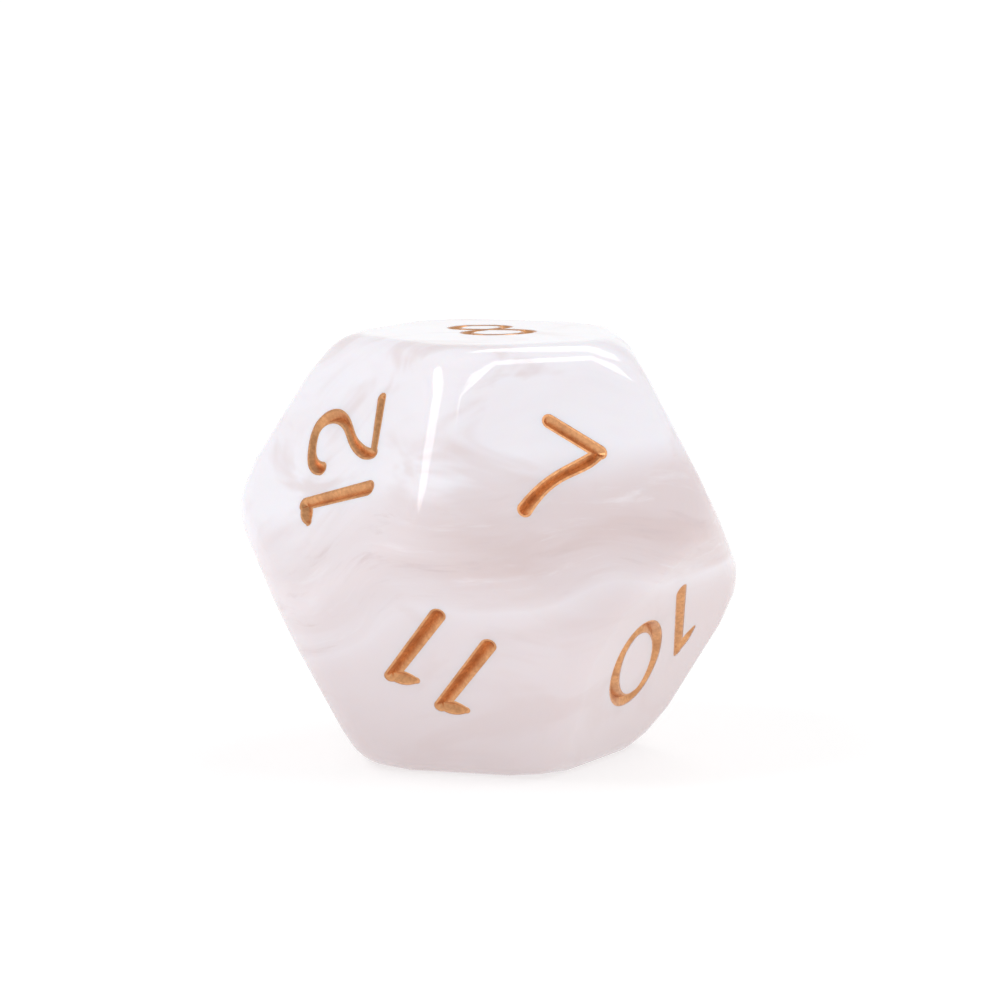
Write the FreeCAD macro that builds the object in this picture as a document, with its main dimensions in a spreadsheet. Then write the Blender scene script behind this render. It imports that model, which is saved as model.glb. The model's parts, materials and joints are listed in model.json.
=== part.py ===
import FreeCAD, Part
import math
import os

from FreeCAD import Placement, Rotation, Vector

# A twelve-sided die, in millimetres: a regular dodecahedron of cast resin with rounded edges and
# corners, a numeral cut as a V groove into every face, and a thin film of paint on the walls of
# each groove. +Z is up, and the origin is the middle of the face that the die rests on, the 5.
# The 11 faces -Y.

UP = Vector(0, 0, 1)
RING_TILT = math.degrees(math.atan(2))     # between the axes of any two neighbouring faces
RING_STEP = 72                             # between the faces of one ring, seen from above

doc = FreeCAD.newDocument("polyhedral_die")

# ---------------------------------------------------------------- driving dimensions

sheet = doc.addObject("Spreadsheet::Sheet", "dimensions")
DRIVING_DIMENSIONS = {
    "across_flats": 18.5,       # from a face to the opposite face
    "across_corners": 22.08,    # from a blunted corner to the opposite one
    "edge_radius": 1.3,         # rounding of every edge
    "numeral_height": 4.8,
    "stroke_width": 0.7,        # of an upright stroke, at the face
    "wall_slope": 1.0,          # groove depth for each millimetre of half width
    "cutter_lift": 0.1,         # how far a groove cutter stands above the face
    "dot_width": 0.85,          # of the dot that tells the 6 from the 9
    "paint_recess": 0.02,       # from the face down to the rim of the paint
    "paint_rise": 0.1,          # thickness of the paint film, measured upright
    "paint_across_flats": "=across_flats - 2 * paint_recess",
}
for row, (alias, value) in enumerate(DRIVING_DIMENSIONS.items(), start=1):
    sheet.set("A%d" % row, alias)
    sheet.set("B%d" % row, str(value))
    sheet.setAlias("B%d" % row, alias)
doc.recompute()


def size(alias):
    return float(sheet.get(alias))


# ---------------------------------------------------------------- the twelve faces

# Opposite faces add up to 13. Each ring is listed anticlockwise from above, and a face's azimuth
# is the direction that it looks in. The last two numbers are the neighbours that share the corner
# towards which its numeral stands upright.
TOP, BOTTOM = 8, 5
UPPER_RING = [(12, 3, 4), (7, 8, 9), (9, 8, 2), (2, 9, 8), (3, 12, 8)]
LOWER_RING = [(11, 4, 5), (10, 1, 5), (1, 10, 9), (6, 5, 4), (4, 5, 11)]
UPPER_AZIMUTH = 234
LOWER_AZIMUTH = 270
UPPER_HALF = [TOP] + [number for number, *neighbours in UPPER_RING]


def direction(tilt, azimuth):
    """Unit vector at an angle from straight up, looking along an azimuth."""
    across = math.sin(math.radians(tilt))
    turn = math.radians(azimuth)
    return Vector(across * math.cos(turn), across * math.sin(turn), math.cos(math.radians(tilt)))


axis = {TOP: UP, BOTTOM: -UP}
upright_corner = {TOP: (2, 3), BOTTOM: (11, 10)}
for place, (number, *neighbours) in enumerate(UPPER_RING):
    axis[number] = direction(RING_TILT, UPPER_AZIMUTH + place * RING_STEP)
    upright_corner[number] = neighbours
for place, (number, *neighbours) in enumerate(LOWER_RING):
    axis[number] = direction(180 - RING_TILT, LOWER_AZIMUTH + place * RING_STEP)
    upright_corner[number] = neighbours


def face_placement(number):
    """A face's own frame: middle of the face, X to the numeral's right, Y to its head, Z outwards."""
    first, second = upright_corner[number]
    outward = axis[number]
    corner = outward + axis[first] + axis[second]
    head = corner - outward * corner.dot(outward)
    head.normalize()
    middle = outward * (size("across_flats") / 2) + UP * (size("across_flats") / 2)
    return Placement(middle, Rotation(head.cross(outward), head, outward, "ZXY"))


# ---------------------------------------------------------------- the blank

def slab(name, along, thickness):
    """A wide disc centred on the die, whose two flat sides are as far apart as the sheet says."""
    disc = doc.addObject("Part::Cylinder", name)
    disc.setExpression("Radius", "dimensions.across_corners")
    disc.setExpression("Height", "dimensions." + thickness)
    disc.Placement = Placement(Vector(), Rotation(UP, along))
    half = " * dimensions.%s / 2" % thickness
    disc.setExpression("Placement.Base.x", "%.12f" % -along.x + half)
    disc.setExpression("Placement.Base.y", "%.12f" % -along.y + half)
    disc.setExpression("Placement.Base.z", "%.12f" % -along.z + half + " + dimensions.across_flats / 2")
    return disc


def make_blank():
    """Dodecahedron with its corners blunted and then all its edges rounded."""
    flats = [slab("flats_%d_%d" % (number, 13 - number), axis[number], "across_flats")
             for number in UPPER_HALF]
    corners = {}
    for number, (first, second) in neighbour_corners():
        corner = axis[number] + axis[first] + axis[second]
        corner.normalize()
        corners[frozenset((number, first, second))] = corner
    blunts = []
    for faces, corner in corners.items():
        if corner.z > 0:
            label = "blunt_" + "_".join(str(number) for number in sorted(faces))
            blunts.append(slab(label, corner, "across_corners"))
    rough = doc.addObject("Part::MultiCommon", "rough_blank")
    rough.Shapes = flats + blunts
    doc.recompute()
    blank = doc.addObject("Part::Fillet", "die_blank")
    blank.Base = rough
    radius = size("edge_radius")
    blank.Edges = [(edge, radius, radius) for edge in range(1, len(rough.Shape.Edges) + 1)]
    doc.recompute()
    return blank


def neighbour_corners():
    """Every face with each pair of neighbours that meets it at a corner."""
    for number in axis:
        around = [other for other in axis if other != number and axis[other].dot(axis[number]) > 0]
        for first in around:
            for second in around:
                if first < second and axis[first].dot(axis[second]) > 0:
                    yield number, (first, second)


die_blank = make_blank()


# ---------------------------------------------------------------- numerals

# A digit is drawn ten units high about its own middle, as pen strokes. A stroke is the points
# (across, up, weight) that the middle of the pen passes, where weight 1 is the full stroke width,
# and how the stroke starts and ends: "round" is a lone end, "square" is cut off inside another
# stroke, and a "closed" stroke runs on from its last point to its first.
DRAWN_HEIGHT = 10


def turned_over(strokes):
    return [([(-across, -up, weight) for across, up, weight in stations], start, end)
            for stations, start, end in strokes]


def oval(half_width, half_height, side_weight, end_weight, spans=12):
    """Closed oval, heavier at its sides than at its top and bottom."""
    stations = []
    for span in range(spans):
        turn = 2 * math.pi * span / spans
        weight = end_weight + (side_weight - end_weight) * math.sin(turn) ** 2
        stations.append((half_width * math.sin(turn), half_height * math.cos(turn), weight))
    return stations


ONE = [
    ([(0, 4.33, 0.93), (0, -4.22, 1.08)], "round", "round"),
    ([(-2.0, 3.3, 0.58), (-0.72, 3.9, 1.12), (0, 4.2, 0.78)], "round", "square"),
]
TWO = [
    ([(-2.8, 2.45, 0.95), (-1.9, 3.75, 0.92), (-0.2, 4.15, 0.82), (1.6, 3.7, 0.95), (2.2, 2.4, 1.05),
      (1.75, 0.8, 0.95), (0.6, -0.3, 0.8), (-0.65, -1.05, 0.78), (-1.9, -2.25, 0.85),
      (-2.5, -3.3, 0.84), (-2.6, -4.12, 0.8)], "round", "round"),
    ([(-2.6, -4.12, 0.64), (2.65, -4.12, 0.8)], "square", "round"),
]
THREE = [
    ([(-2.35, 3.05, 0.92), (-1.4, 4.1, 0.85), (0.05, 4.38, 0.8), (1.75, 3.65, 0.95), (1.95, 2.15, 1.0),
      (0.9, 0.85, 0.85), (-0.7, 0.5, 0.76)], "round", "round"),
    ([(-0.15, 0.52, 0.62), (1.6, -0.2, 0.92), (2.45, -1.9, 1.05), (1.65, -3.65, 0.92),
      (-0.1, -4.35, 0.8), (-1.6, -4.05, 0.86), (-2.65, -3.1, 0.92)], "square", "round"),
]
FOUR = [
    ([(1.35, 4.27, 0.95), (1.35, -4.22, 1.05)], "round", "round"),
    ([(1.35, 4.0, 0.68), (-2.85, -1.78, 0.84)], "square", "round"),
    ([(-2.85, -1.78, 0.66), (3.05, -1.8, 0.84)], "square", "round"),
]
FIVE = [
    ([(2.25, 4.33, 0.84), (-1.55, 4.33, 0.84)], "round", "round"),
    ([(-1.55, 4.33, 0.66), (-2.0, 0.6, 0.84)], "square", "round"),
    ([(-2.0, 0.6, 0.64), (-0.3, 1.1, 0.82), (1.6, 0.55, 0.96), (2.4, -1.45, 1.05), (1.4, -3.65, 0.92),
      (-0.5, -4.35, 0.82), (-2.45, -3.45, 0.92)], "square", "round"),
]
SIX = [
    ([(2.0, 4.05, 0.86), (0.25, 3.7, 0.92), (-1.55, 1.85, 1.0), (-2.5, -1.1, 1.06), (-1.75, -3.5, 0.95),
      (0.1, -4.35, 0.82), (1.9, -3.5, 0.95), (2.5, -1.6, 1.04), (1.75, 0.2, 0.92), (0.1, 0.85, 0.8),
      (-1.45, 0.15, 0.74), (-2.3, -1.05, 0.62)], "round", "square"),
]
SEVEN = [
    ([(-2.6, 4.35, 1.0), (2.62, 4.35, 1.0)], "round", "round"),
    ([(2.62, 4.35, 0.78), (1.95, 2.8, 0.92), (0.66, 0.75, 0.85), (-0.2, -0.95, 0.84), (-0.78, -2.9, 0.93),
      (-1.0, -4.22, 1.02)], "square", "round"),
]
EIGHT = [
    ([(0, 4.0, 0.8), (-1.85, 3.4, 0.95), (-2.5, 2.2, 1.0), (-1.6, 1.05, 0.95), (0, 0.35, 0.92),
      (1.9, -0.5, 0.97), (2.95, -1.95, 1.05), (2.05, -3.45, 0.94), (0, -4.0, 0.8), (-2.05, -3.45, 0.9),
      (-2.95, -1.95, 0.98), (-1.9, -0.5, 0.86), (0, 0.35, 0.74), (1.6, 1.05, 0.84), (2.5, 2.2, 0.95),
      (1.85, 3.4, 0.9)], "closed", "closed"),
]
ZERO = [(oval(half_width=2.97, half_height=4.68, side_weight=1.04, end_weight=0.93), "closed", "closed")]
NINE = turned_over(SIX)

# Where each digit stands: its face, its strokes, how tall it is beside the sheet's numeral height,
# and how far its middle is to the right of and above the middle of the face, in millimetres.
DIGITS = {
    "1": (1, ONE, 1, 0.35, -0.3),
    "2": (2, TWO, 1.05, 0, -0.3),
    "3": (3, THREE, 1, 0, -0.3),
    "4": (4, FOUR, 1, 0, -0.3),
    "5": (5, FIVE, 1, 0, -0.3),
    "6": (6, SIX, 1, -0.2, -0.3),
    "7": (7, SEVEN, 1, -0.3, -0.35),
    "8": (8, EIGHT, 1, 0.23, 0.6),
    "9": (9, NINE, 1, -0.2, -0.3),
    "10_one": (10, ONE, 1.05, -1.78, -0.55),
    "10_zero": (10, ZERO, 1, 1.18, -0.55),
    "11_first": (11, ONE, 1, -0.94, -0.39),
    "11_second": (11, ONE, 1, 1.54, -0.39),
    "12_one": (12, ONE, 0.95, -1.45, -0.12),
    "12_two": (12, TWO, 1, 1.4, -0.05),
}

# The dots beside the 6 and the 9 are placed in the same way.
DOTS = {
    "6_dot": (6, 1.75, -2.3),
    "9_dot": (9, 1.75, -2.3),
}
STEPS_PER_SPAN = 2          # sections between two points of a curved stroke
LONGEST_RUN = 4             # spans in one loft, so that no loft bends round onto itself


def groove_section(point, heading, half_width):
    """Triangle across a stroke: two corners above the face, and one at the foot of the groove."""
    slope = size("wall_slope")
    lift = size("cutter_lift")
    aside = Vector(-heading.y, heading.x, 0) * (half_width + lift / slope)
    left = point + aside + UP * lift
    right = point - aside + UP * lift
    foot = point - UP * (half_width * slope)
    return Part.makePolygon([left, foot, right, left])


def groove_end(point, outwards, half_width):
    """Half cone that closes a stroke, on the side that the pen would have gone on to."""
    slope = size("wall_slope")
    lift = size("cutter_lift")
    depth = half_width * slope
    cone = Part.makeCone(0, half_width + lift / slope, depth + lift, Vector(), UP, 180)
    turn = math.degrees(math.atan2(outwards.y, outwards.x)) - 90
    cone.Placement = Placement(point - UP * depth, Rotation(UP, turn))
    return cone


def groove(stations, start, end, tallness):
    """Solids of one stroke: V sections lofted along a spline through the stations."""
    unit = size("numeral_height") * tallness / DRAWN_HEIGHT
    half_stroke = size("stroke_width") / 2
    points = [Vector(across * unit, up * unit, weight * half_stroke) for across, up, weight in stations]
    closed = start == "closed"
    spans = len(points) if closed else len(points) - 1
    steps = spans * STEPS_PER_SPAN if spans > 1 else 1
    pen = Part.BSplineCurve()
    pen.interpolate(Points=points, PeriodicFlag=closed)
    sections = []
    for step in range(steps + 1):
        at = pen.FirstParameter + (pen.LastParameter - pen.FirstParameter) * step / steps
        place = pen.value(at)
        heading = pen.tangent(at)[0]
        heading = Vector(heading.x, heading.y, 0).normalize()
        sections.append((Vector(place.x, place.y, 0), heading, place.z))
    runs = math.ceil(spans / LONGEST_RUN)
    solids = []
    for run in range(runs):
        first = round(steps * run / runs)
        last = round(steps * (run + 1) / runs)
        outlines = [groove_section(*section) for section in sections[first:last + 1]]
        solids.append(Part.makeLoft(outlines, True, False))
    if start == "round":
        point, heading, half_width = sections[0]
        solids.append(groove_end(point, -heading, half_width))
    if end == "round":
        solids.append(groove_end(*sections[-1]))
    return solids


def digit_cutter(strokes, tallness):
    """All the strokes of one digit as one solid, in the face's frame and about the digit's middle."""
    solids = []
    for stations, start, end in strokes:
        solids.extend(groove(stations, start, end, tallness))
    return solids[0].multiFuse(solids[1:]).removeSplitter()


# ---------------------------------------------------------------- cutters

def digit_tool(name, number, strokes, tallness, across, up):
    """The groove cutter of one digit, set in its place on a face."""
    tool = doc.addObject("Part::Feature", "cutter_" + name)
    tool.Shape = digit_cutter(strokes, tallness)
    tool.Placement = face_placement(number) * Placement(Vector(across, up, 0), Rotation())
    return tool


def dot_tool(name, number, across, up):
    """The conical cutter of the dot beside the 6 or the 9, set in its place on a face."""
    tool = doc.addObject("Part::Cone", "cutter_" + name)
    slope = size("wall_slope")
    half_width = size("dot_width") / 2
    tool.Radius1 = 0
    tool.setExpression("Radius2", "dimensions.dot_width / 2 + dimensions.cutter_lift / dimensions.wall_slope")
    tool.setExpression("Height", "dimensions.dot_width / 2 * dimensions.wall_slope + dimensions.cutter_lift")
    foot = Vector(across, up, -half_width * slope)
    tool.Placement = face_placement(number) * Placement(foot, Rotation())
    return tool


cutters = {}
for name, (number, *drawing) in DIGITS.items():
    cutters[name] = (number, digit_tool(name, number, *drawing))
for name, (number, across, up) in DOTS.items():
    cutters[name] = (number, dot_tool(name, number, across, up))
doc.recompute()


# ---------------------------------------------------------------- the moulding

# Every face and its numerals are cut in turn from the same blank.
all_cutters = doc.addObject("Part::Compound", "all_cutters")
all_cutters.Links = [tool for number, tool in cutters.values()]
die_body = doc.addObject("Part::Cut", "die_body")
die_body.Base = die_blank
die_body.Tool = all_cutters
die_body.Label = "die_body"


# ---------------------------------------------------------------- the paint

# The paint keeps a little below the faces, so all of it lies between twelve planes that stand
# inside the faces by the recess. A film is what one cutter has and the same cutter, raised by the
# paint's thickness, has not.
paint_planes = [slab("paint_plane_%d" % number, axis[number], "paint_across_flats")
                for number in UPPER_HALF]
paint_limit = doc.addObject("Part::MultiCommon", "paint_limit")
paint_limit.Shapes = paint_planes


def paint_film(name, number, tool):
    """The film of paint on the walls of one groove."""
    filled = doc.addObject("Part::Common", "filled_" + name)
    filled.Base = tool
    filled.Tool = paint_limit
    hollow = doc.addObject("Part::Feature", "hollow_" + name)
    hollow.Shape = tool.Shape
    hollow.Placement = Placement(axis[number] * size("paint_rise"), Rotation()) * tool.Placement
    film = doc.addObject("Part::Cut", "paint_" + name)
    film.Base = filled
    film.Tool = hollow
    film.Label = "paint_" + name
    return film


nodes = [die_body]
for name, (number, tool) in cutters.items():
    nodes.append(paint_film(name, number, tool))
doc.recompute()


# ---------------------------------------------------------------- checks and STEP files

for part in doc.Objects:
    if "Invalid" in part.State or "Error" in part.State:
        raise RuntimeError("%s did not recompute: %s" % (part.Label, part.State))
for node in nodes:
    if node.Shape.isNull() or not node.Shape.isValid() or len(node.Shape.Solids) != 1:
        raise RuntimeError("%s is not one valid solid" % node.Label)

os.makedirs("parts", exist_ok=True)
for node in nodes:
    node.Shape.exportStep("parts/%s.step" % node.Label)
    print("%-16s %9.4f mm3  %3d faces" % (node.Label, node.Shape.Volume, len(node.Shape.Faces)))
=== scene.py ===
import json
import math

import bpy
from mathutils import Matrix, Vector

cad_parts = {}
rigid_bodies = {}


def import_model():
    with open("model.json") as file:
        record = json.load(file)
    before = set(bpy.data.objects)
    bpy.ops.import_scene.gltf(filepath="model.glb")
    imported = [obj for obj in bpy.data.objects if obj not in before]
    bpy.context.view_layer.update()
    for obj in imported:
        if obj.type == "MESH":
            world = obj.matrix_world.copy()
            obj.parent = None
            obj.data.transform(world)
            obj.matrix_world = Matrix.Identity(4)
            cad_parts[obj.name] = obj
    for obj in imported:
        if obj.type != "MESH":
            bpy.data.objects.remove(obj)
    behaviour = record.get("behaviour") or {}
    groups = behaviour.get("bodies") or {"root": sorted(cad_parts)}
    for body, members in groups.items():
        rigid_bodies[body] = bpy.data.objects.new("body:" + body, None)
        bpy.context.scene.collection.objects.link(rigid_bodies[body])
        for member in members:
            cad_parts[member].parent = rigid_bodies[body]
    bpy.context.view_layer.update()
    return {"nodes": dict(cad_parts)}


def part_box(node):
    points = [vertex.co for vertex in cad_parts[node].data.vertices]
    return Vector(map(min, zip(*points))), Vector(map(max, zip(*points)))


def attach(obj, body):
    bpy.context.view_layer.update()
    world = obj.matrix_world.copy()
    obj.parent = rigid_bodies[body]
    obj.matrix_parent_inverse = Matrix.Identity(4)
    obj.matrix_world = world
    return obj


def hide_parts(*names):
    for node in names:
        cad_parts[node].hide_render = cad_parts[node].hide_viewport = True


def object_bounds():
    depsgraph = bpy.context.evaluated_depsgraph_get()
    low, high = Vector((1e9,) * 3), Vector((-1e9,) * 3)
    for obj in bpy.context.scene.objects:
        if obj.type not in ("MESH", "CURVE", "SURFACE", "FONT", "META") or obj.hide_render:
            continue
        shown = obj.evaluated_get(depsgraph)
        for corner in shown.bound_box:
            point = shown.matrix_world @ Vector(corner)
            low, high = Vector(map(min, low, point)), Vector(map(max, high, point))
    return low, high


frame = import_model()
scene = bpy.context.scene

# ---------------------------------------------------------------- the view
# The die stands on its 5, and is seen from just above the table, from the side of the 11 and the
# 7, through a long lens, so that its far edges hardly converge.

low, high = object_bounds()
ACROSS_FLATS = high.z - low.z
DIE_MIDDLE = Vector((0, 0, low.z + ACROSS_FLATS / 2))

UPRIGHT = math.pi / 2
VIEW_AZIMUTH = math.radians(284.1)
VIEW_ELEVATION = math.radians(9.39)
VIEW_DISTANCE = 0.162
VIEW_PAN = -0.0028           # the die stands a little left of the middle
VIEW_TILT = 0.0112           # and a little below it
VIEW_ROLL = math.radians(0.1)
SENSOR_WIDTH = 36
FOCAL_LENGTH = 133.06


def direction(tilt, azimuth):
    """A unit vector, from its angle to straight up and its turn about that."""
    outwards = math.sin(tilt)
    return Vector((outwards * math.cos(azimuth), outwards * math.sin(azimuth), math.cos(tilt)))


camera_data = bpy.data.cameras.new("view")
camera_data.sensor_width = SENSOR_WIDTH
camera_data.lens = FOCAL_LENGTH
camera = bpy.data.objects.new("view", camera_data)
scene.collection.objects.link(camera)
towards_camera = direction(UPRIGHT - VIEW_ELEVATION, VIEW_AZIMUTH)
aim = (-towards_camera).to_track_quat("-Z", "Y").to_matrix()
aim = aim @ Matrix.Rotation(VIEW_PAN, 3, "Y") @ Matrix.Rotation(VIEW_TILT, 3, "X")
aim = aim @ Matrix.Rotation(VIEW_ROLL, 3, "Z")
stand_point = DIE_MIDDLE + towards_camera * VIEW_DISTANCE
camera.matrix_world = Matrix.Translation(stand_point) @ aim.to_4x4()
scene.camera = camera

# ---------------------------------------------------------------- the die body
# One solid moulding of milky acrylic with pearl pigment stirred through it: a dodecahedron whose
# edges and corners were rounded by tumbling, with a numeral pressed into every face. It is made
# here as the shape that is left under a skin stretched over its rounded edges and corners.

EDGE_RADIUS = 0.00133
CORNER_RADIUS = 0.00233
EVEN_SHARE = 0.53            # share of an edge, about its middle, that has the plain edge radius
EDGE_STEPS = 14
CORNER_SUBDIVISIONS = 6
FLAT_ENOUGH = math.radians(0.3)
SMOOTH_BELOW = math.radians(30)

RING_TILT = math.atan(2)     # between the axes of any two neighbouring faces
UPPER_AZIMUTH = math.radians(234)
LOWER_AZIMUTH = math.radians(270)
INRADIUS_PER_EDGE = 1.1135163644            # of any regular dodecahedron
CIRCUMRADIUS_PER_INRADIUS = 1.2584085724
half_flats = ACROSS_FLATS / 2
edge_length = half_flats / INRADIUS_PER_EDGE

face_axes = [Vector((0, 0, 1)), Vector((0, 0, -1))]
for step in range(5):
    turn = math.radians(72 * step)
    face_axes.append(direction(RING_TILT, UPPER_AZIMUTH + turn))
    face_axes.append(direction(math.pi - RING_TILT, LOWER_AZIMUTH + turn))


def neighbours(first, second):
    """Whether two faces, given by their axes, share an edge."""
    return math.isclose(first.dot(second), math.cos(RING_TILT), abs_tol=0.01)


edges = []
corners = []
for i, first in enumerate(face_axes):
    for j, second in enumerate(face_axes[:i]):
        if neighbours(first, second):
            outwards = (first + second).normalized()
            along = first.cross(second).normalized()
            edges.append((outwards, along))
            for third in face_axes[:j]:
                if neighbours(first, third) and neighbours(second, third):
                    corners.append((first + second + third).normalized())


def pick_faces(piece, wanted):
    """Selects the faces of a mesh for which wanted(face) holds, and nothing else."""
    bpy.ops.object.mode_set(mode="OBJECT")
    for vertex in piece.data.vertices:
        vertex.select = False
    for edge in piece.data.edges:
        edge.select = False
    for face in piece.data.polygons:
        face.select = wanted(face)
    bpy.ops.object.mode_set(mode="EDIT")


def only(piece):
    """Makes a piece the only selected object, and the active one."""
    bpy.ops.object.select_all(action="DESELECT")
    piece.select_set(True)
    bpy.context.view_layer.objects.active = piece


def set_copy(piece, name, matrix):
    """A copy of a piece with its own mesh, moved within that mesh."""
    copy = piece.copy()
    copy.data = piece.data.copy()
    copy.name = name
    copy.data.transform(matrix)
    scene.collection.objects.link(copy)
    return copy


# The rounding of one edge is a straight line, spun through the angle between two faces.
bpy.ops.object.select_all(action="DESELECT")
even_length = edge_length * EVEN_SHARE
bpy.ops.mesh.primitive_plane_add(size=even_length)
rounding = bpy.context.object
bpy.ops.object.mode_set(mode="EDIT")
bpy.ops.mesh.select_all(action="DESELECT")
bpy.ops.object.mode_set(mode="OBJECT")
for vertex in rounding.data.vertices:
    vertex.select = vertex.co.x < 0
bpy.ops.object.mode_set(mode="EDIT")
bpy.ops.mesh.delete(type="VERT")
bpy.ops.mesh.select_all(action="SELECT")
first_line = Vector((-math.sin(RING_TILT / 2), 0, math.cos(RING_TILT / 2))) * EDGE_RADIUS
bpy.ops.transform.translate(value=first_line - Vector((even_length / 2, 0, 0)))
bpy.ops.mesh.spin(steps=EDGE_STEPS, angle=RING_TILT, center=(0, 0, 0), axis=(0, -1, 0))
bpy.ops.object.mode_set(mode="OBJECT")

# The rounding of one corner is a ball.
bpy.ops.object.select_all(action="DESELECT")
bpy.ops.mesh.primitive_ico_sphere_add(subdivisions=CORNER_SUBDIVISIONS, radius=CORNER_RADIUS)
corner_ball = bpy.context.object

# Copies of both are set along every edge and in every corner, and a skin is stretched over them.
skeleton = []
for outwards, along in edges:
    turn = Matrix((along.cross(outwards), along, outwards)).transposed().to_4x4()
    reach = (half_flats - EDGE_RADIUS) / math.cos(RING_TILT / 2)
    turn.translation = DIE_MIDDLE + outwards * reach
    skeleton.append(set_copy(rounding, "edge", turn))
for outwards in corners:
    reach = (half_flats - CORNER_RADIUS) * CIRCUMRADIUS_PER_INRADIUS
    centre = Matrix.Translation(DIE_MIDDLE + outwards * reach)
    skeleton.append(set_copy(corner_ball, "corner", centre))
bpy.data.objects.remove(rounding)
bpy.data.objects.remove(corner_ball)
bpy.ops.object.select_all(action="DESELECT")
for part in skeleton:
    part.select_set(True)
bpy.context.view_layer.objects.active = skeleton[0]
bpy.ops.object.join()
die = bpy.context.object
die.name = "pearl_die"
bpy.ops.object.mode_set(mode="EDIT")
bpy.ops.mesh.select_all(action="SELECT")
bpy.ops.mesh.convex_hull()
bpy.ops.mesh.select_all(action="SELECT")
bpy.ops.mesh.dissolve_limited(angle_limit=FLAT_ENOUGH)
bpy.ops.object.mode_set(mode="OBJECT")

# Every numeral is cut with a tool that is cast from the outer skin of its own film of paint, and
# stands a little out of the face.
SAME_POINT = 1e-7
PAINT_RECESS = 0.00002       # how far below the face the paint stops
RIM_SLACK = 0.0000008        # how far below that the rim of the film may be measured
TOOL_LIFT = 0.0001


def groove_tool(name, film):
    """The cutter for the groove that a film of paint lies in, from a copy of the film."""
    start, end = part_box(name)
    outwards = max(face_axes, key=lambda axis: axis.dot((start + end) / 2 - DIE_MIDDLE))
    rim_height = half_flats - PAINT_RECESS - RIM_SLACK
    tool = set_copy(film, "tool", Matrix())
    only(tool)
    bpy.ops.object.mode_set(mode="EDIT")
    bpy.ops.mesh.select_all(action="SELECT")
    bpy.ops.mesh.remove_doubles(threshold=SAME_POINT)
    bpy.ops.object.mode_set(mode="OBJECT")

    # Without its flat rim, a film falls apart into its inner and its outer skin.
    heights = [(vertex.co - DIE_MIDDLE).dot(outwards) for vertex in tool.data.vertices]
    pick_faces(tool, lambda face: min(heights[i] for i in face.vertices) > rim_height)
    bpy.ops.mesh.delete(type="FACE")
    bpy.ops.mesh.select_all(action="DESELECT")
    bpy.ops.object.mode_set(mode="OBJECT")

    # The outer skin is the one that reaches the deepest.
    heights = [(vertex.co - DIE_MIDDLE).dot(outwards) for vertex in tool.data.vertices]
    tool.data.vertices[heights.index(min(heights))].select = True
    bpy.ops.object.mode_set(mode="EDIT")
    bpy.ops.mesh.select_mode(type="VERT")
    bpy.ops.mesh.select_linked()
    bpy.ops.mesh.select_all(action="INVERT")
    bpy.ops.mesh.delete(type="VERT")

    # Its edge is raised out of the face and closed.
    bpy.ops.mesh.select_mode(type="EDGE")
    bpy.ops.mesh.select_non_manifold()
    bpy.ops.mesh.extrude_edges_move(TRANSFORM_OT_translate={"value": outwards * TOOL_LIFT})
    bpy.ops.mesh.fill()
    bpy.ops.mesh.select_all(action="SELECT")
    bpy.ops.mesh.normals_make_consistent(inside=False)
    bpy.ops.object.mode_set(mode="OBJECT")
    return tool


films = {name: node for name, node in frame["nodes"].items() if name.startswith("paint")}
tools = [groove_tool(name, film) for name, film in films.items()]
bpy.ops.object.select_all(action="DESELECT")
for tool in tools:
    tool.select_set(True)
bpy.context.view_layer.objects.active = tools[0]
bpy.ops.object.join()
all_tools = bpy.context.object

only(die)
bpy.ops.object.mode_set(mode="EDIT")
bpy.ops.mesh.select_all(action="SELECT")
bpy.ops.mesh.normals_make_consistent(inside=False)
bpy.ops.object.mode_set(mode="OBJECT")
cut = die.modifiers.new("grooves", "BOOLEAN")
cut.operation = "DIFFERENCE"
cut.solver = "EXACT"
cut.object = all_tools
bpy.ops.object.modifier_apply(modifier=cut.name)
bpy.data.objects.remove(all_tools)
only(die)
bpy.ops.object.mode_set(mode="EDIT")
bpy.ops.mesh.select_all(action="SELECT")
bpy.ops.mesh.remove_doubles(threshold=SAME_POINT)
bpy.ops.mesh.dissolve_degenerate(threshold=SAME_POINT)
bpy.ops.object.mode_set(mode="OBJECT")
bpy.ops.object.shade_smooth_by_angle(angle=SMOOTH_BELOW)
even = die.modifiers.new("even", "WEIGHTED_NORMAL")
even.keep_sharp = True
bpy.ops.object.modifier_apply(modifier=even.name)

# The resin: milky white with cloudy beige patches and thin bright streaks of pearl, which all lean
# the same way, as the pigment was drawn out when the resin was poured.


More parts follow.
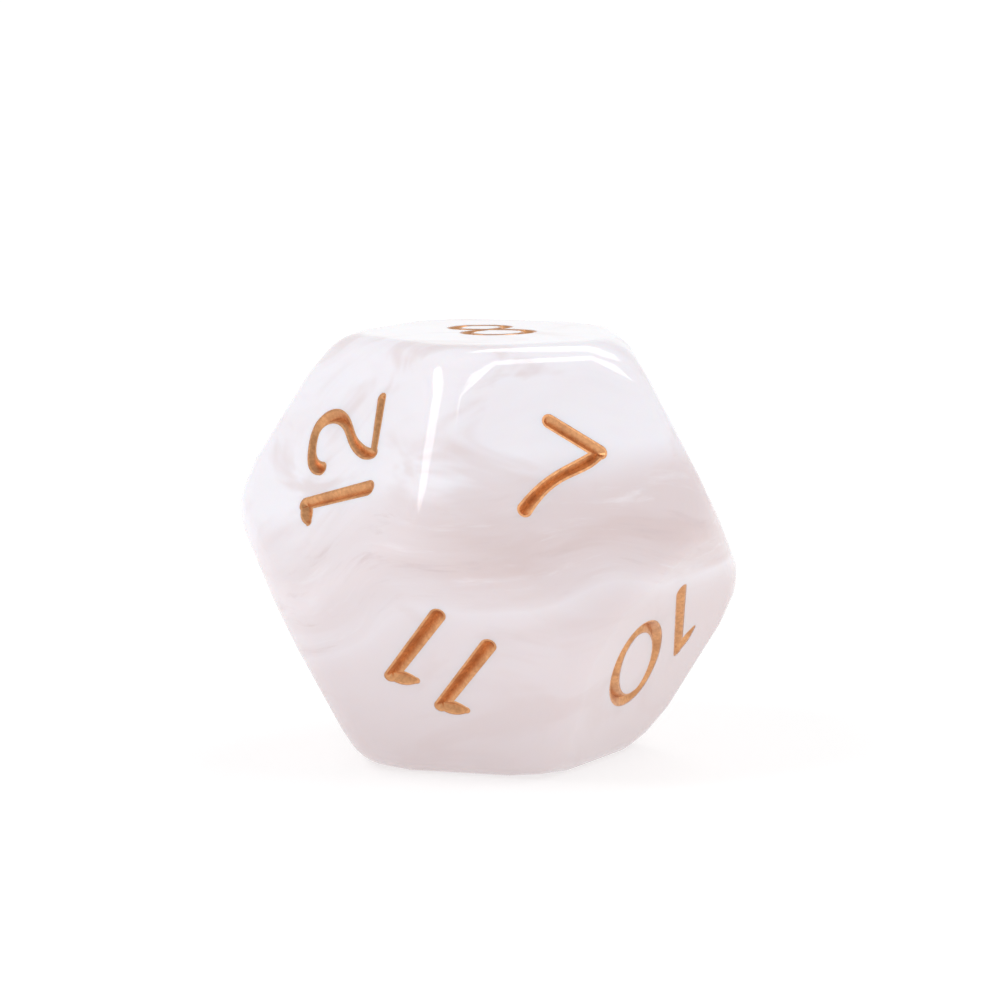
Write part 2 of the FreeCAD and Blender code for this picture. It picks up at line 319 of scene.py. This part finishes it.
class Wire:
    """One output of a material's nodes. Arithmetic on wires makes the nodes that work it out."""

    def __init__(self, tree, socket):
        self.tree = tree
        self.socket = socket

    def node(self, kind, values, settings=None, output=0):
        """Adds a node of any kind: its settings, then the value or wire of each named input."""
        made = self.tree.nodes.new(kind)
        for name, value in (settings or {}).items():
            setattr(made, name, value)
        for name, value in values.items():
            if isinstance(value, Wire):
                self.tree.links.new(value.socket, made.inputs[name])
            else:
                made.inputs[name].default_value = value
        return Wire(self.tree, made.outputs[output])

    def math(self, operation, first, second):
        return self.node("ShaderNodeMath", {0: first, 1: second}, {"operation": operation})

    def __add__(self, other):
        return self.math("ADD", self, other)

    def __radd__(self, other):
        return self.math("ADD", other, self)

    def __sub__(self, other):
        return self.math("SUBTRACT", self, other)

    def __rsub__(self, other):
        return self.math("SUBTRACT", other, self)

    def __mul__(self, other):
        return self.math("MULTIPLY", self, other)

    def __rmul__(self, other):
        return self.math("MULTIPLY", other, self)

    def __truediv__(self, other):
        return self.math("DIVIDE", self, other)

    def __pow__(self, other):
        return self.math("POWER", self, other)

    def at_least(self, other):
        return self.math("MAXIMUM", self, other)

    def between(self, start, end):
        """0 where the wire is at start, 1 at end, with a soft start and finish."""
        return self.node("ShaderNodeMapRange", {0: self, 1: start, 2: end},
                         {"interpolation_type": "SMOOTHSTEP"})

    def mix(self, colour, other):
        """From one colour to another as the wire goes from 0 to 1."""
        values = {0: self}
        for socket, part in ((6, colour), (7, other)):
            values[socket] = part if isinstance(part, Wire) else (*part, 1)
        return self.node("ShaderNodeMix", values, {"data_type": "RGBA"}, output=2)

    def noise(self, scale, detail=2, roughness=0.5, distortion=0.0):
        return self.node("ShaderNodeTexNoise", {"Vector": self, "Scale": scale, "Detail": detail,
                                                "Roughness": roughness, "Distortion": distortion})


MM_PER_METRE = 1000


def new_material(name):
    """A material, its shader node, and a wire with the place on the object in millimetres."""
    material = bpy.data.materials.new(name)
    material.use_nodes = True
    tree = material.node_tree
    shader = tree.nodes["Principled BSDF"]
    place = Wire(tree, tree.nodes.new("ShaderNodeTexCoord").outputs["Object"])
    in_mm = place.node("ShaderNodeVectorMath", {0: place, "Scale": MM_PER_METRE},
                       {"operation": "SCALE"})
    return material, shader, in_mm


def feed(shader, name, wire):
    """Joins a wire to a named input of a shader."""
    wire.tree.links.new(wire.socket, shader.inputs[name])


def part_along(wire, way):
    """How far a place lies along a direction."""
    return wire.node("ShaderNodeVectorMath", {0: wire, 1: tuple(way)},
                     {"operation": "DOT_PRODUCT"}, output=1)


MILKY_WHITE = (0.885, 0.86, 0.91)
CLEAR_ROSE = (0.72, 0.605, 0.605)
PALE_THREAD = (0.86, 0.82, 0.85)
DARK_THREAD = (0.66, 0.55, 0.56)
# the rose that the lower die is darkened to, as painted shade
PAINTED_SHADE_ROSE = (0.64, 0.55, 0.55)

FLOW_AZIMUTH = math.radians(14)
FLOW_RISE = math.radians(11)
flow = direction(UPRIGHT - FLOW_RISE, FLOW_AZIMUTH)
level = direction(UPRIGHT, FLOW_AZIMUTH + UPRIGHT)
upward = flow.cross(level)

resin, shader, place = new_material("pearl_resin")
centre_height = half_flats * MM_PER_METRE
centred = place.node("ShaderNodeVectorMath", {0: place, 1: (0, 0, centre_height)},
                     {"operation": "SUBTRACT"})

# The layers of pigment arch over the middle of the die and sway a little. All lengths are in
# millimetres.
ARCH = 0.014
SWAY = 4.5
along = part_along(centred, flow)
depth = part_along(centred, level)
sway = centred.noise(0.12, detail=1) - 0.5
across = part_along(centred, upward) + along * along * ARCH + sway * SWAY

# One pattern is drawn out along the layers, the other keeps softer, rounder clouds.
drawn = across.node("ShaderNodeCombineXYZ", {0: along * 0.16, 1: across, 2: depth * 0.35})
soft = centred.node("ShaderNodeCombineXYZ", {0: along * 0.45, 1: across * 0.9, 2: depth * 0.7})
patches = soft.noise(0.34, detail=3, roughness=0.55, distortion=0.9).between(0.47, 0.66)
fold = drawn.noise(0.55, detail=3, roughness=0.55, distortion=0.5).between(0.40, 0.68)

# A band with little pigment runs round the middle. It rises a little along the flow, and is the
# clearest where the flow ends.
BAND_MIDDLE = 1.3
BAND_RISE = 0.06
BAND_HALF_WIDTH = 3.3
off_band = (across - BAND_MIDDLE - along * BAND_RISE) / BAND_HALF_WIDTH
band = (1 - off_band ** 2).between(-0.2, 0.9)
band_strength = 0.55 + 0.40 * along.between(-6.0, 2.0)
clear_in_band = band * band_strength * (0.85 + 0.25 * fold)
clear = clear_in_band + (1 - band) * (patches * 0.5 + fold * 0.12)

# Below the band the colour turns rosier and darker, and more so along the flow: partly the resin's
# own rose tone, partly painted shade on the lower faces, which get less light.
lower_rose_and_shade = (0 - across).between(-1.0, 3.0)
lower_rose_and_shade_strength = 0.60 + 0.28 * along.between(1.0, 8.0) + 0.18 * patches
clear = clear.at_least(lower_rose_and_shade * lower_rose_and_shade_strength)
tone = clear.mix(MILKY_WHITE, CLEAR_ROSE)

# Fine silky threads, both paler and darker, are drawn out along the layers.
silk = drawn.noise(1.5, detail=6, roughness=0.6, distortion=0.3) - 0.5
thread_strength = 0.35 + 0.85 * band
tone = (silk * thread_strength).between(0.04, 0.42).mix(tone, PALE_THREAD)
tone = ((0 - silk) * thread_strength).between(0.05, 0.40).mix(tone, DARK_THREAD)

# Painted shade: towards the table the die's colour is darkened, standing in for the dimmer light
# near the table.
below_middle = 0 - part_along(centred, (0, 0, 1))
tone = (below_middle.between(3.0, 10.0) * 0.6).mix(tone, PAINTED_SHADE_ROSE)
feed(shader, "Base Color", tone)
shader.inputs["Roughness"].default_value = 0.06
shader.inputs["IOR"].default_value = 1.49
shader.inputs["Subsurface Weight"].default_value = 0.3
shader.inputs["Subsurface Radius"].default_value = (1.0, 0.7, 0.55)
shader.inputs["Subsurface Scale"].default_value = 0.0008
die.data.materials.clear()
die.data.materials.append(resin)
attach(die, "root")
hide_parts("die_body")

# ---------------------------------------------------------------- the paint
# Metallic paint, the colour of old gold, was wiped into the grooves and off the faces. It lies
# thin and slightly rough on both walls of each groove, and stops at the edge.

DEEP_GOLD = (0.60, 0.285, 0.13)
BRIGHT_GOLD = (0.78, 0.405, 0.19)
THICK_PAINT = (0.47, 0.205, 0.09)
BRUSH_DEPTH = 0.00005

gold, shader, place = new_material("gold_paint")
flakes = place.noise(6, detail=4, roughness=0.6)
blotches = place.noise(1.4, detail=2)
tone = flakes.between(0.3, 0.7).mix(DEEP_GOLD, BRIGHT_GOLD)
tone = (blotches.between(0.45, 0.7) * 0.5).mix(tone, THICK_PAINT)
feed(shader, "Base Color", tone)
feed(shader, "Roughness", 0.28 + 0.12 * flakes)
shader.inputs["Metallic"].default_value = 0.95
brushed = place.noise(2.5, detail=2)
bump = flakes.node("ShaderNodeBump", {"Height": flakes * 0.08 + brushed, "Strength": 0.25,
                                      "Distance": BRUSH_DEPTH})
feed(shader, "Normal", bump)
for film in films.values():
    film.data.materials.clear()
    film.data.materials.append(gold)

# ---------------------------------------------------------------- the floor and the light
# A white table in a white room, with soft boxes round the die.

FLOOR_SIZE = 40
FLOOR_GREY = (0.49, 0.49, 0.49)
PALER_GREY = (0.51, 0.51, 0.51)
FLOOR_GLOW = 0.545           # keeps the table white close to the die, where the light is dimmer

bpy.ops.object.select_all(action="DESELECT")
bpy.ops.mesh.primitive_plane_add(size=FLOOR_SIZE, location=(0, 0, low.z))
floor = bpy.context.object
floor.name = "floor"
table, shader, place = new_material("table")
feed(shader, "Base Color", place.noise(0.002).mix(FLOOR_GREY, PALER_GREY))
shader.inputs["Roughness"].default_value = 0.9
shader.inputs["Emission Color"].default_value = (1, 1, 1, 1)
shader.inputs["Emission Strength"].default_value = FLOOR_GLOW
floor.data.materials.append(table)

# The walls of the room are the brightest near the table, and fade towards the ceiling.
WALL_GLOW = (1.04, 1.04, 1.04)
CEILING_GLOW = (0.56, 0.56, 0.56)
world = bpy.data.worlds.new("room")
world.use_nodes = True
tree = world.node_tree
above = Wire(tree, tree.nodes.new("ShaderNodeTexCoord").outputs["Generated"])
above = above.node("ShaderNodeSeparateXYZ", {0: above}, output=2)
glow = above.between(0.05, 0.7).mix(WALL_GLOW, CEILING_GLOW)
tree.links.new(glow.socket, tree.nodes["Background"].inputs["Color"])
scene.world = world

BOX_DISTANCE = 6


def soft_box(name, azimuth, elevation, width, height, brightness):
    """A lamp in a direction from the die, with its width and height as angles, in degrees."""
    from_die = direction(UPRIGHT - math.radians(elevation), math.radians(azimuth))
    data = bpy.data.lights.new(name, "AREA")
    data.shape = "RECTANGLE"
    data.size = 2 * BOX_DISTANCE * math.tan(math.radians(width / 2))
    data.size_y = 2 * BOX_DISTANCE * math.tan(math.radians(height / 2))
    data.energy = brightness * math.pi * data.size * data.size_y
    lamp = bpy.data.objects.new(name, data)
    lamp.location = DIE_MIDDLE + from_die * BOX_DISTANCE
    lamp.rotation_euler = from_die.to_track_quat("Z", "Y").to_euler()
    scene.collection.objects.link(lamp)


soft_box("left_box", azimuth=210, elevation=48, width=27, height=26, brightness=3.6)
soft_box("right_box", azimuth=346, elevation=51, width=23, height=14, brightness=4.0)
soft_box("back_box", azimuth=60, elevation=60, width=38, height=13, brightness=3.0)
scene.view_settings.view_transform = "Standard"
